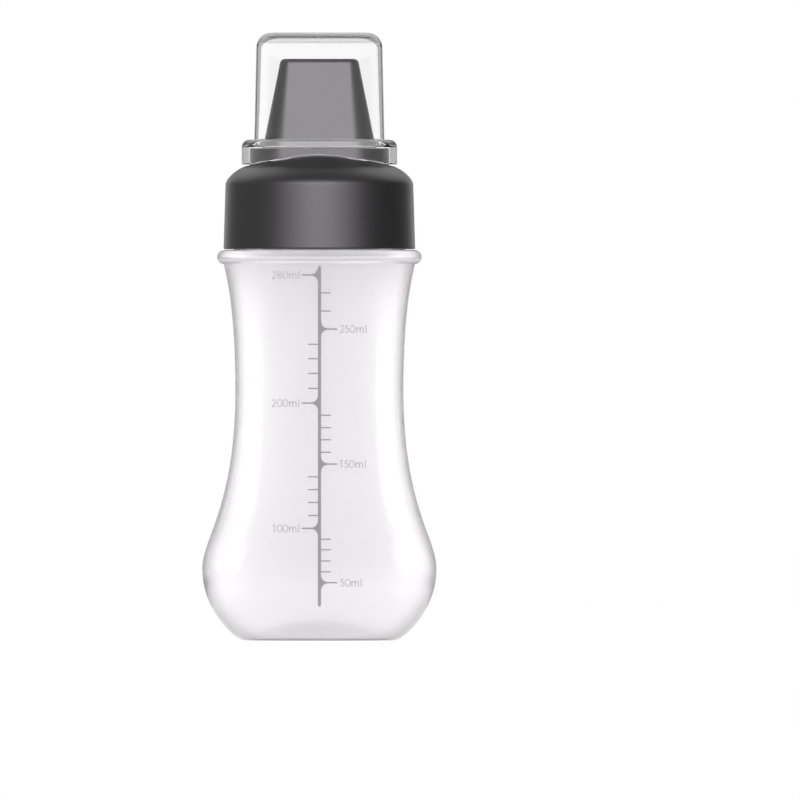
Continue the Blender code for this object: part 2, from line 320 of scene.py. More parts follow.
def makeFlowWaves():  # slow unevenness of plastic that cooled in a mould
    group, given, out = newGroup(
        "flowWaves", {"Waves per metre": 45.0, "Stretch": 0.35}, ("Height", "Mask"))
    place = placeOf(group)
    squeeze = addNode(group, "ShaderNodeCombineXYZ", {"X": 1.0, "Y": 1.0, "Z": given["Stretch"]})
    stretch = {0: place, 1: squeeze.outputs["Vector"]}
    stretched = addNode(group, "ShaderNodeVectorMath", stretch, "MULTIPLY")
    waves = noiseOf(group, stretched.outputs["Vector"], given["Waves per metre"], detail=1.5)
    fillInputs(group, waves, {"Distortion": 0.4})
    flecks = noiseOf(group, place, 420.0, detail=3.0)
    both = mixOf(group, waves.outputs["Fac"], flecks.outputs["Fac"], 0.3)
    fillInputs(group, out, {"Height": waves.outputs["Fac"], "Mask": both})
    return group


def makeRubbedEdges():  # where hands and shelves have polished the outer corners
    group, given, out = newGroup(
        "rubbedEdges", {"Start": 0.53, "Full": 0.62, "Patches per metre": 240.0}, ("Mask",))
    form = addNode(group, "ShaderNodeNewGeometry").outputs["Pointiness"]
    corner = rangeOf(group, form, 0.0, 1.0, given["Start"], given["Full"], "SMOOTHSTEP")
    patches = noiseOf(group, placeOf(group), given["Patches per metre"], detail=4.0)
    fillInputs(group, out, {"Mask": mathOf(group, "MULTIPLY", corner, patches.outputs["Fac"])})
    return group


def makeLeaningUp():  # how far a face leans up, above one height only; it moves where the painted rim shade starts
    group, given, out = newGroup("leaningUp", {"Above": 0.0, "Share": 0.3}, ("Mask",))
    lean = partsOf(group, addNode(group, "ShaderNodeNewGeometry").outputs["Normal"])["Z"]
    high = mathOf(group, "GREATER_THAN", partsOf(group, placeOf(group))["Z"], given["Above"])
    shared = mathOf(group, "MULTIPLY", lean, given["Share"])
    fillInputs(group, out, {"Mask": mathOf(group, "MULTIPLY", shared, high)})
    return group


mouldGrain = makeMouldGrain()
leaningUp = makeLeaningUp()
flowWaves = makeFlowWaves()
rubbedEdges = makeRubbedEdges()


def newFinish(name, settings):  # settings are the Principled sockets that stay the same all over
    finish = bpy.data.materials.new(name)
    finish.use_nodes = True
    shader = finish.node_tree.nodes["Principled BSDF"]
    fillInputs(finish.node_tree, shader, settings)
    return finish, finish.node_tree, shader


def matteFinish(name, look):  # for lid, nozzle and seal; a rubbed tone polishes its corners
    finish, tree, shader = newFinish(name, {
        "Metallic": 0.0, "IOR": look["ior"], "Specular IOR Level": look["shine"],
    })
    grain = placeGroup(tree, mouldGrain, {"Grains per metre": look["grains"]})
    body = mixColours(tree, look["dark"], look["light"], grain["Mask"])
    if "rubbed" in look:
        body = mixColours(tree, body, look["rubbed"], placeGroup(tree, rubbedEdges, {})["Mask"])
    least, most = look["rough"] - look["roughSpread"], look["rough"] + look["roughSpread"]
    fillInputs(tree, shader, {
        "Base Color": body,
        "Roughness": rangeOf(tree, grain["Mask"], least, most, *look["grainSpan"]),
        "Normal": bumpOf(tree, grain["Height"], look["bump"], look["grainDepth"]),
    })
    return finish


def seeThroughPlastic(name, look, rimmed=True):  # rimmed is greyer where seen along its wall: partly the longer path through the wall, partly painted shade
    finish, tree, shader = newFinish(name, {
        "Metallic": 0.0, "IOR": look["ior"], "Transmission Weight": look["transmission"],
    })
    flow = placeGroup(tree, flowWaves, {"Waves per metre": look["waves"], "Stretch": look["stretch"]})
    height = partsOf(tree, placeOf(tree))["Z"]
    calm = rangeOf(tree, height, 1.0, 0.0, look["calmAbove"] - look["calmFade"], look["calmAbove"])
    colour = mixColours(tree, look["dark"], look["light"], flow["Mask"])
    if rimmed:
        # painted shade: the colour turns to the look's edge grey where the wall is seen at a slant,
        # shifted by how far a face leans up
        facing = addNode(tree, "ShaderNodeLayerWeight", {"Blend": 0.5}).outputs["Facing"]
        leaning = placeGroup(tree, leaningUp, {"Above": look["leanAbove"], "Share": look["leanShare"]})
        turned = mathOf(tree, "MULTIPLY_ADD", facing, leaning["Mask"], facing)
        leaving = addNode(tree, "ShaderNodeNewGeometry").outputs["Backfacing"]
        entering = mathOf(tree, "SUBTRACT", turned, leaving)
        rim = rangeOf(tree, entering, 0.0, 1.0, look["rimStart"], look["rimFull"], "SMOOTHSTEP")
        colour = mixColours(tree, colour, look["edge"], rim)
    least, most = (look["rough"] * share for share in look["roughShares"])
    fillInputs(tree, shader, {
        "Base Color": colour,
        "Roughness": rangeOf(tree, flow["Mask"], least, most, *noiseSpan),
        "Normal": bumpOf(tree, mathOf(tree, "MULTIPLY", flow["Height"], calm),
                         look["bump"], look["waveDepth"]),
    })
    return finish


# Bottle

bottle = {
    "wall": 0.0011,
    "inkRoom": 0.00003,       # the wall lies this far in, so that the print stays inside the size
    "footRadius": 0.0244,
    "footRingWidth": 0.0032,
    "footLean": 15.0,
    "pushUp": 0.0042,
    "bulgeRadius": 0.0368,
    "bulgeHeight": 0.0222,
    "waistRadius": 0.0264,
    "waistHeight": 0.0785,
    "shoulderRadius": 0.0300,
    "shoulderHeight": 0.1179,
    "shoulderFlare": 10.0,
    "beadSection": 0.0022,
    "beadReach": 0.0321,
    "hollowTurn": 70.0,       # the bead is blown hollow
    "throatSetback": 0.0016,
    "throatWall": 0.0008,
    "throatHandle": 0.0006,
    "sideSteps": 30,
    "bulgeSteps": 40,
    "domeSteps": 16,
    "beadSteps": 20,
    "hollowSteps": 12,
    "throatSteps": 8,
    "footHandle": 0.0035,
    "heelHandle": 0.0122,
    "bulgeHandle": 0.0098,
    "lowerWaistHandle": 0.0368,
    "upperWaistHandle": 0.0260,
    "shoulderHandle": 0.0030,
    "neckBore": 0.0253,
    "neckWall": 0.0015,
    "neckLength": 0.0177,
    "rimRounding": 0.0005,
}
threadShape = {
    "pitch": 0.00423,
    "turns": 1.5,
    "depth": 0.0012,
    "rootHalf": 0.0013,
    "crestHalf": 0.00045,
    "crestShares": (1.25, 0.6),  # of the crest's half width, below its softened edge and on top
    "stepsPerTurn": 144,
    "softening": 0.00008,
    "belowRim": 0.0009,
    "rootWidth": 0.0022,
    "runOut": math.radians(40),
    "bite": 0.0005,
}
milkyLook = {
    "ior": 1.5,
    "transmission": 0.86,
    "dark": (0.890, 0.876, 0.890),
    "light": (0.920, 0.906, 0.920),
    # painted shade where the wall is seen at a slant, partly real for the longer path through it
    "edge": (0.32, 0.314, 0.32),
    "rimStart": 0.47,
    "rimFull": 0.90,
    "leanAbove": -1.0,
    "leanShare": -0.17,
    "rough": 0.20,
    "bump": 0.10,
    "waves": 45.0,
    "stretch": 0.35,
    "calmAbove": 0.117,       # no waves in the bead
    "calmFade": 0.006,
    "roughShares": (0.8, 1.2),
    "waveDepth": 0.0002,
}

beadHeight = bottle["shoulderHeight"] + bottle["beadSection"]
neckBase = beadHeight + bottle["beadSection"]
rimHeight = neckBase + bottle["neckLength"]
neckRadius = bottle["neckBore"] + bottle["neckWall"]
threadCrest = neckRadius + threadShape["depth"]
threadStart = rimHeight - threadShape["belowRim"] - threadShape["rootWidth"] / 2 \
    - threadShape["turns"] * threadShape["pitch"]


def bottleSide():  # from the shoulder down to the foot
    b = bottle
    flare, lean = math.radians(b["shoulderFlare"]), math.radians(b["footLean"])
    shoulder = (b["shoulderRadius"], b["shoulderHeight"])
    handle = b["shoulderHandle"]
    under = (shoulder[0] - math.sin(flare) * handle, shoulder[1] - math.cos(flare) * handle)
    waist, bulge = (b["waistRadius"], b["waistHeight"]), (b["bulgeRadius"], b["bulgeHeight"])
    steps, foot, reach = b["sideSteps"], b["footRadius"], b["footHandle"]
    upper = bezierLine(shoulder, under, (waist[0], waist[1] + b["upperWaistHandle"]), waist, steps)
    lower = bezierLine(waist, (waist[0], waist[1] - b["lowerWaistHandle"]),
                       (bulge[0], bulge[1] + b["bulgeHandle"]), bulge, b["bulgeSteps"])
    heel = bezierLine(bulge, (bulge[0], bulge[1] - b["heelHandle"]),
                      (foot + math.cos(lean) * reach, math.sin(lean) * reach), (foot, 0.0), steps)
    return [(radius - b["inkRoom"], height) for radius, height in upper + lower[1:] + heel[1:]]


def bottleDome():  # the push-up, from the foot ring to the axis
    edge = bottle["footRadius"] - bottle["footRingWidth"]
    sphere = (edge ** 2 + bottle["pushUp"] ** 2) / (2 * bottle["pushUp"])
    low = math.degrees(math.atan2(sphere - bottle["pushUp"], edge))
    return arcLine((0, bottle["pushUp"] - sphere), sphere, low, 90, bottle["domeSteps"])


def makeBottle(finish, lining, beaded):
    b = bottle
    shell = bottleSide() + bottleDome()
    inside = shiftedLine(shell, -b["wall"])[::-1]
    swell, bore = b["beadReach"] - b["beadSection"], b["neckBore"]
    bend, rounding = b["throatHandle"], b["rimRounding"]
    hollow = arcLine((swell, beadHeight), b["beadSection"] - b["wall"],
                     -b["hollowTurn"], b["hollowTurn"], b["hollowSteps"])
    throat = [(inside[-1][0], hollow[0][1])] + hollow
    throat += bezierLine((swell - b["throatSetback"], neckBase - b["throatWall"]),
                         (bore + bend, neckBase - bend),
                         (bore, neckBase), (bore, neckBase + b["wall"]), b["throatSteps"])
    innerRim = arcLine((bore + rounding / 2, rimHeight - rounding / 2), rounding / 2, 180, 90, lipSteps)
    rim = arcLine((neckRadius - rounding, rimHeight - rounding), rounding, 90, 0, edgeSteps)
    bead = arcLine((swell, beadHeight), b["beadSection"], 90, -90, b["beadSteps"])
    line = inside + throat + innerRim + rim + [(neckRadius, neckBase)] + bead[:-1] + shell
    made = makeObject("bottleShell", turnLine(line))
    carve(made, threadRidge("neckThread", neckRadius, threadCrest, threadStart, threadShape), "UNION")
    fitPiece(made, "bottle", finish, "bottle")
    lineFaces(made, lining, b["pushUp"] + b["wall"] * 2)
    made.data.materials.append(beaded)
    for face in made.data.polygons:
        x, y, z = face.center
        if beadHeight < z < neckBase and math.hypot(x, y) > swell and face.material_index == 0:
            face.material_index = 2
    return made


bottleShell = makeBottle(seeThroughPlastic("milkyPlastic", milkyLook),
                         seeThroughPlastic("milkyPlasticInside", milkyLook, False),
                         seeThroughPlastic("milkyPlasticBead", {**milkyLook, "transmission": 0.62}))
print("bottle made,", len(bottleShell.data.polygons), "faces")


# Printed scale

scale = {
    "lift": 0.00002,
    "root": 0.00002,          # how far the ink goes into the wall
    "barHalf": 0.00050,
    "barAcross": 0.0001,      # its middle is this far right of the bottle's axis
    "barLow": 0.01055,
    "barHigh": 0.11715,
    "lineHalf": 0.00022,
    "lineEnd": 0.00555,
    "flareRadius": 0.00215,   # of the two fillets between a line and the bar
    "tickHalf": 0.00019,
    "tickEnd": 0.00352,
    "rootedShare": 0.8,       # lines start this far out in the bar's half width
    "barSteps": 8,
    "barSplits": 120,
    "flareSteps": 14,
    "flareSplits": 10,
    "lineSteps": 6,
    "majors": ((0.11435, -1, "280"), (0.09743, 1, "250"), (0.07424, -1, "200"),
               (0.05514, 1, "150"), (0.03504, -1, "100"), (0.01804, 1, "50")),
    "ticks": ((1, (0.10874, 0.10304)), (-1, (0.09264, 0.08814, 0.08354, 0.07884)),
              (1, (0.07044, 0.06654, 0.06274, 0.05884)), (-1, (0.05114, 0.04714, 0.04314, 0.03904)),
              (1, (0.03164, 0.02834, 0.02484, 0.02144))),
    "textLeft": -0.00625,
    "textRight": 0.00650,
    "capHeight": 0.00250,
    "leastBend": 0.5,         # keeps the corners of a pen stroke short
    "stroke": 0.125,          # shares of the cap height from here on
    "mBearing": 0.11,
    "archWidth": 0.4125,      # of the m, from stem to stem
}
inkLook = {
    "ior": 1.45,
    "dark": (0.28, 0.27, 0.28),
    "light": (0.36, 0.35, 0.36),
    "rough": (0.45, 0.6),
    "grains": 2600.0,
    "patches": 300.0,
}
textInkLook = {**inkLook, "dark": (0.46, 0.45, 0.46), "light": (0.56, 0.55, 0.56)}

sideLine = bottleSide()[::-1]


def wallRadius(height):
    for (lowRadius, low), (highRadius, high) in zip(sideLine, sideLine[1:]):
        if low <= height <= high:
            return lowRadius + (highRadius - lowRadius) * (height - low) / (high - low)
    return sideLine[-1][0]


def onFront(x, height, lift):  # the point of the front wall that is straight behind (x, height)
    return (x, -math.sqrt((wallRadius(height) + lift) ** 2 - x ** 2), height)


def inkBlock(mesh, columns, splits):  # columns are (x, low, high), seen from the front
    rings = []
    for x, low, high in columns:
        rows = spread(low, high, splits)
        rings.append([onFront(x, z, scale["lift"]) for z in rows]
                     + [onFront(x, z, -scale["root"]) for z in rows[::-1]])
    copyInto(mesh, skinRings(rings))


def copyInto(mesh, block):
    known = {vert: mesh.verts.new(vert.co) for vert in block.verts}
    for face in block.faces:
        mesh.faces.new([known[vert] for vert in face.verts])
    block.free()


def inkStroke(mesh, points, half, closed=False):  # a pen stroke through (x, height) points
    rings, count = [], len(points)
    for i, (x, z) in enumerate(points):
        before = Vector(points[i - 1 if closed else max(i - 1, 0)])
        after = Vector(points[(i + 1) % count if closed else min(i + 1, count - 1)])
        here = Vector((x, z))
        first = here - before if (here - before).length > tiny else after - here
        first = first.normalized()
        second = (after - here).normalized() if (after - here).length > tiny else first
        along = (first + second).normalized()
        reach = half / max(along.dot(first), scale["leastBend"])
        side = Vector((-along.y, along.x)) * reach
        left, right, lift, root = here + side, here - side, scale["lift"], -scale["root"]
        corners = ((left, lift), (right, lift), (right, root), (left, root))
        rings.append([onFront(*point, depth) for point, depth in corners])
    copyInto(mesh, skinRings(rings, closed))


def digitShapes():  # advance, then strokes as (closed, points), in shares of the cap height
    pen = scale["stroke"] / 2
    top = 1 - pen
    bow = scale["archWidth"] / 2
    arch = ovalLine((scale["mBearing"] + pen + bow, 0.42), bow, 0.26, 180, 0, 14)
    secondArch = [(x + 2 * bow, z) for x, z in arch]
    two = ovalLine((0.27, 0.70), 0.205, 0.235, 172, -32, 16)
    five = ovalLine((0.27, 0.32), 0.235, 0.255, 112, -150, 20)
    flag = splitLine((0.03, 0.80), (0.21, top)) + splitLine((0.215, top), (0.215, 0.0), 8)[1:]
    hook = splitLine((0.46, top), (0.185, top)) + splitLine((0.18, top), five[0])[1:] + five[1:]
    stem = splitLine((arch[0][0], 0.0), (arch[0][0], 0.68))
    return {
        "0": (0.71, [(True, ovalLine((0.36, 0.5), 0.36 - pen, 0.5 - pen, steps=40))]),
        "1": (0.53, [(False, flag)]),
        "2": (0.62, [(False, two + splitLine(two[-1], (0.05, pen))[1:]),
                     (False, splitLine((0.02, pen), (0.50, pen)))]),
        "5": (0.61, [(False, hook)]),
        "8": (0.70, [(True, ovalLine((0.32, 0.745), 0.20, 0.255 - pen)),
                     (True, ovalLine((0.32, 0.285), 0.24, 0.285 - pen))]),
        "m": (1.27, [(False, stem), (False, arch + splitLine(arch[-1], (arch[-1][0], 0.0))[1:]),
                     (False, secondArch + splitLine(secondArch[-1], (secondArch[-1][0], 0.0))[1:])]),
        "l": (2 * pen, [(False, splitLine((pen, 0.0), (pen, 1.0), 8))]),
    }


def inkText(mesh, shapes, text, start, middle):
    cap = scale["capHeight"]
    pen = start
    for letter in text:
        advance, strokes = shapes[letter]
        for closed, points in strokes:
            placed = [(pen + x * cap, middle + (z - 0.5) * cap) for x, z in points]
            inkStroke(mesh, placed, scale["stroke"] * cap / 2, closed)
        pen += advance * cap


def makeScaleMarks(finish):
    mesh = bmesh.new()
    half, middle, line = scale["barHalf"], scale["barAcross"], scale["lineHalf"]
    fillet, rooted, tick = scale["flareRadius"], half * scale["rootedShare"], scale["tickHalf"]
    lineSteps = scale["lineSteps"]
    columns = []
    for x in spread(-half, half, scale["barSteps"]):
        bow = math.sqrt(max(half ** 2 - x ** 2, 0)) - half
        columns.append((middle + x, scale["barLow"] - bow, scale["barHigh"] + bow))
    inkBlock(mesh, columns, scale["barSplits"])
    for height, side, text in scale["majors"]:
        columns = [(middle + side * rooted, height - line - fillet, height + line + fillet)]
        for share in spread(0.0, 1.0, scale["flareSteps"]):
            out = fillet * share ** 2
            rise = line + fillet - math.sqrt(fillet ** 2 - (fillet - out) ** 2)
            columns.append((middle + side * (half + out), height - rise, height + rise))
        for x in spread(half + fillet, scale["lineEnd"], lineSteps)[1:]:
            columns.append((middle + side * x, height - line, height + line))
        inkBlock(mesh, columns, scale["flareSplits"])
    for side, heights in scale["ticks"]:
        for height in heights:
            columns = [(middle + side * x, height - tick, height + tick)
                       for x in spread(rooted, scale["tickEnd"], lineSteps)]
            inkBlock(mesh, columns, 1)
    return fitPiece(makeObject("scaleMarks", mesh), "bottle", finish)


def makeScaleNumbers(finish):
    mesh = bmesh.new()
    shapes = digitShapes()
    for height, side, number in scale["majors"]:
        text = number + "ml"
        width = sum(shapes[letter][0] for letter in text) * scale["capHeight"]
        start = scale["textRight"] if side > 0 else scale["textLeft"] - width
        inkText(mesh, shapes, text, start, height)
    return fitPiece(makeObject("scaleNumbers", mesh), "bottle", finish)


def inkFinish(name, look):
    finish, tree, shader = newFinish(name, {"Metallic": 0.0, "IOR": look["ior"]})
    grain = placeGroup(tree, mouldGrain, {
        "Grains per metre": look["grains"], "Patches per metre": look["patches"],
    })
    fillInputs(tree, shader, {
        "Base Color": mixColours(tree, look["dark"], look["light"], grain["Mask"]),
        "Roughness": rangeOf(tree, grain["Height"], *look["rough"]),
    })
    return finish


makeScaleMarks(inkFinish("greyInk", inkLook))
makeScaleNumbers(inkFinish("lightGreyInk", textInkLook))
print("printed scale made with", len(scale["majors"]), "numbered marks")


# Neck seal

seal = {"thickness": 0.0015, "width": 0.0031, "rounding": 0.00035}
sealLook = {
    "ior": 1.41,
    "dark": (0.74, 0.74, 0.72),
    "light": (0.84, 0.84, 0.82),
    "shine": 0.5,
    "grainSpan": (0.0, 1.0),
    "rough": 0.55,
    "roughSpread": 0.08,
    "bump": 0.15,
    "grainDepth": 0.00005,
    "grains": 900.0,
}
lidBore = threadCrest + fitGap
sealBase = rimHeight + fitGap


def makeSeal(finish):
    outer = lidBore - fitGap
    inner = outer - seal["width"]
    top, r = sealBase + seal["thickness"], seal["rounding"]
    line = []
    for x, z, start in ((outer - r, sealBase + r, -90), (outer - r, top - r, 0),
                        (inner + r, top - r, 90), (inner + r, sealBase + r, 180)):
        line += arcLine((x, z), r, start, start + 90, lipSteps)
    made = makeObject("sealRing", turnLine(line, True))
    return fitPiece(made, "seal", finish, "neck_seal")


sealRing = makeSeal(matteFinish("sealSilicone", sealLook))
print("neck seal made")


# Screw lid

lid = {
    "skirtWall": 0.0018,
    "draft": 0.0006,
    "startDrop": 0.0004,      # below the shoulder, where the drafted skirt starts
    "startShare": 0.02,       # of the draft, reached there
    "edge": 0.0004,
    "crownWall": 0.0014,
    "seatWidth": 0.0041,
    "crownRise": 0.0050,
    "crownSlope": 14.6,
    "shoulderDrop": 0.0059,
    "shoulderInset": 0.0063,
    "shoulderSteps": 16,
    "lowHandle": 0.0022,
    "topHandle": 0.0024,
    "holeRounding": 0.00025,
}
collar = {"flat": 0.0110, "radius": 0.0109, "rise": 0.0106, "rounding": 0.0004, "flange": 0.0012}
lidLook = {
    "ior": 1.5,
    "dark": (0.0026, 0.0025, 0.0026),
    "light": (0.0038, 0.0036, 0.0038),
    "rubbed": (0.0120, 0.0115, 0.0120),
    "shine": 0.36,
    "grainSpan": noiseSpan,
    "rough": 0.45,
    "roughSpread": 0.015,
    "bump": 0.12,
    "grainDepth": 0.00006,
    "grains": 1500.0,
}
flangeBase = sealBase + seal["thickness"] + fitGap
flangeTop = flangeBase + collar["flange"]
lidSeat = flangeTop + fitGap
lidBase = neckBase + fitGap
lidRadius = lidBore + lid["skirtWall"]
crownEdgeHeight = lidSeat + lid["crownRise"]
crownEdgeRadius = lidRadius - lid["draft"] - lid["shoulderInset"]
crownTan = math.tan(math.radians(lid["crownSlope"]))
collarTop = lidSeat + collar["rise"]


def crownHeight(radius):  # the lid's crown is a shallow cone
    return crownEdgeHeight + (crownEdgeRadius - radius) * crownTan


def makeLid(finish):
    topRadius = lidRadius - lid["draft"]
    shoulderBase = crownEdgeHeight - lid["shoulderDrop"]
    slope = math.radians(lid["crownSlope"])
    handle = Vector((math.cos(slope), -math.sin(slope))) * lid["topHandle"]
    shoulder = bezierLine((crownEdgeRadius, crownEdgeHeight),
                          (crownEdgeRadius + handle.x, crownEdgeHeight + handle.y),
                          (topRadius, shoulderBase + lid["lowHandle"]), (topRadius, shoulderBase),
                          lid["shoulderSteps"])
    edge, seatInner = lid["edge"], lidBore - lid["seatWidth"]
    under = lid["crownWall"] / math.cos(slope)
    outside = list(shoulder)
    outside.append((topRadius + lid["draft"] * lid["startShare"], shoulderBase - lid["startDrop"]))
    outside += arcLine((lidRadius - edge, lidBase + edge), edge, 0, -90, edgeSteps)
    outside += arcLine((lidBore + edge, lidBase + edge), edge, -90, -180, edgeSteps)
    outside += [(lidBore, lidSeat), (seatInner, lidSeat), (seatInner, crownHeight(seatInner) - under)]
    rings = [circleRing(radius, height) for radius, height in outside]
    flat, radius, rounding = collar["flat"], collar["radius"] + fitGap, lid["holeRounding"]
    holeRings = [stadiumOnRays(flat, radius + wider, lambda r: crownHeight(r) - lower)
                 for wider, lower in ((0.0, under), (0.0, rounding),
                                      (rounding * lipShare, rounding * lipShare), (rounding, 0.0))]
    made = makeObject("lidShell", skinRings(rings + holeRings, True))
    rootHalf, crestHalf = threadShape["rootWidth"] / 2, threadShape["crestHalf"]
    lost = (rootHalf - crestHalf) * (1 - fitGap / threadShape["depth"])
    start = threadStart - (rootHalf + crestHalf - lost / 2 + fitGap)
    carve(made, threadRidge("lidThread", lidBore, neckRadius + fitGap, start, threadShape), "UNION")
    return fitPiece(made, "lid", finish, "screw_lid")


lidShell = makeLid(matteFinish("lidPlastic", lidLook))
print("lid made,", len(lidShell.data.polygons), "faces")


# Nozzle with its collar, flange and five outlets

nozzle = {
    "wall": 0.0013,
    "rise": 0.0281,
    "footFlat": 0.0106,
    "footRadius": 0.0073,
    "tipFlat": 0.0092,
    "tipRadius": 0.0029,
    "tipRounding": 0.0013,
    "tipStart": 1.25,         # the wedge's last straight ring, in roundings below its tip
    "tipWall": 0.0015,
    "footFillet": 0.0003,
    "outlets": 5,
    "outletSpacing": 0.0042,
    "outletRadius": 0.0009,
    "outletMouth": 0.0013,
    "outletLip": 0.00022,
    "outletSteps": 48,
    "cutInside": 0.0006,
    "cutOutside": 0.0005,
}
nozzleLook = {
    **lidLook,
    "dark": (0.0034, 0.0033, 0.0034),
    "light": (0.0048, 0.0046, 0.0048),
    "rubbed": (0.0160, 0.0153, 0.0160),
    "rough": 0.42,
    "bump": 0.05,
}
nozzleTop = collarTop + nozzle["rise"]


def stadium(flat, radius, height):
    return racetrack(flat + radius, radius, radius, height)


def nozzleRing(height, inset=0.0):
    share = (nozzleTop - height) / nozzle["rise"]
    flat = nozzle["tipFlat"] + (nozzle["footFlat"] - nozzle["tipFlat"]) * share
    radius = nozzle["tipRadius"] + (nozzle["footRadius"] - nozzle["tipRadius"]) * share
    return stadium(flat, radius - inset, height)


def circleLike(ring, radius):  # a circle with a point on the ray through each point of the ring
    return [(radius * x / math.hypot(x, y), radius * y / math.hypot(x, y), z) for x, y, z in ring]


def outletTool():
    mesh = bmesh.new()
    radius, lip = nozzle["outletRadius"], nozzle["outletLip"]
    line = [
        (nozzle["outletMouth"], nozzleTop - nozzle["tipWall"] - nozzle["cutInside"]),
        (radius, nozzleTop - lip),
        (radius + lip * lipShare, nozzleTop - lip * lipShare),
        (radius + lip, nozzleTop),
        (radius + lip, nozzleTop + nozzle["cutOutside"]),
    ]
    for i in range(nozzle["outlets"]):
        x = (i - (nozzle["outlets"] - 1) / 2) * nozzle["outletSpacing"]
        copyInto(mesh, skinRings([circleRing(r, z, nozzle["outletSteps"], x) for r, z in line]))
    return makeObject("outletTool", mesh)


def makeNozzle(finish):
    wall, lip, tip = nozzle["wall"], nozzle["footFillet"], nozzle["tipRounding"]
    flat, radius, rounding = collar["flat"], collar["radius"], collar["rounding"]
    innerCollar = radius - wall
    flange, outer = stadium(flat, innerCollar, flangeBase), stadium(flat, radius, flangeTop)
    rings = [
        nozzleRing(nozzleTop - nozzle["tipWall"], wall),
        nozzleRing(collarTop, wall),
        nozzleRing(collarTop - wall, wall),
        stadium(flat, innerCollar, collarTop - wall),
        flange,
        circleLike(flange, lidBore - fitGap),
        circleLike(outer, lidBore - fitGap),
        outer,
    ]
    for bent, sunk in quarterTurn(edgeSteps):
        rings.append(stadium(flat, radius - rounding * bent, collarTop - rounding * sunk))
    for bent, sunk in quarterTurn(lipSteps):  # the small fillet where the wedge stands on the collar
        rings.append(nozzleRing(collarTop + lip * bent, -lip * sunk))
    rings.append(nozzleRing(nozzleTop - tip * nozzle["tipStart"]))
    for bent, sunk in quarterTurn(filletSteps):
        rings.append(nozzleRing(nozzleTop - tip * sunk, tip * bent))
    made = makeObject("nozzleShell", skinRings(rings))
    carve(made, outletTool(), "DIFFERENCE")
    return fitPiece(made, "lid", finish, "nozzle")


nozzleShell = makeNozzle(matteFinish("nozzlePlastic", nozzleLook))
print("nozzle made,", len(nozzleShell.data.polygons), "faces")


# Dust cover

cover = {
    "headroom": 0.0082,
    "wall": 0.0014,
    "topWall": 0.0020,
    "sideClearance": 0.0011,
    "gripGap": 0.0006,
    "crownGap": 0.0004,
    "corner": 0.0078,
    "draft": 0.0006,
    "topFillet": 0.0047,
    "innerFillet": 0.0021,
    "skirtWall": 0.0019,
    "ledgeWall": 0.0024,
    "ledgeFillet": 0.0023,
    "ledgeStart": 0.0006,     # from the skirt's side up to the ledge's fillet
    "edgeRounding": 0.0002,
    "heartRise": 0.02,        # above the cover's rest; the lined faces look towards it
    "mistyHalf": 0.0135,      # the ledge's straight part
    "ledgeMargin": 1.2,       # in edge roundings, above the ledge
    "wallShare": 0.9,         # of the wall, from which the ledge is counted
    "shelfLean": 0.85,        # the ledge's faces that look up more than this
    "shelfMargin": 0.1,       # in edge roundings, above the ledge
    "softTop": 0.0031,        # the outer fillet is frosted and painted grey, a painted shade, down to this far below the top
    "softMiddle": 0.0014,     # and more so down to this far
    "ceilingDrop": 0.00045,   # the inner fillet is painted greyer, a painted shade, down to this far below the ceiling
    "levelLean": 0.97,        # faces that look up or down more than this are the flat top or ceiling
}
clearLook = {
    **milkyLook,
    "ior": 1.49,
    "transmission": 1.0,
    "dark": (0.99, 0.985, 0.99),
    "light": (1.0, 0.995, 1.0),
    # painted shade where the wall is seen at a slant and on the top's upward faces, partly real for the
    # longer path through it
    "edge": (0.235, 0.230, 0.235),
    "rimStart": 0.40,
    "rimFull": 0.46,
    "leanAbove": 0.165,
    "leanShare": 1.35,
    "rough": 0.015,
    "bump": 0.008,
    "waves": 70.0,
    "stretch": 0.6,
    "calmAbove": 0.183,
}
coverTop = nozzleTop + cover["headroom"]
coverRest = collarTop + fitGap
ledgeTop = coverRest + cover["ledgeWall"]


def roundedTop(halfWidth, halfDepth, corner, fillet, top):
    return [racetrack(halfWidth - fillet * bent, halfDepth - fillet * bent, corner - fillet * bent,
                      top - fillet * sunk) for bent, sunk in quarterTurn(filletSteps)]


def skirtRing(radius, lift):  # follows the lid's crown, which gives the arched lower edge
    lowest = crownHeight(collar["flat"] + collar["radius"] + cover["gripGap"]) + cover["crownGap"]
    raised = cover["crownGap"] / math.cos(math.radians(lid["crownSlope"]))
    ring = stadium(collar["flat"], radius, 0.0)
    return [(x, y, max(lowest, crownHeight(math.hypot(x, y)) + raised) + lift) for x, y, z in ring]


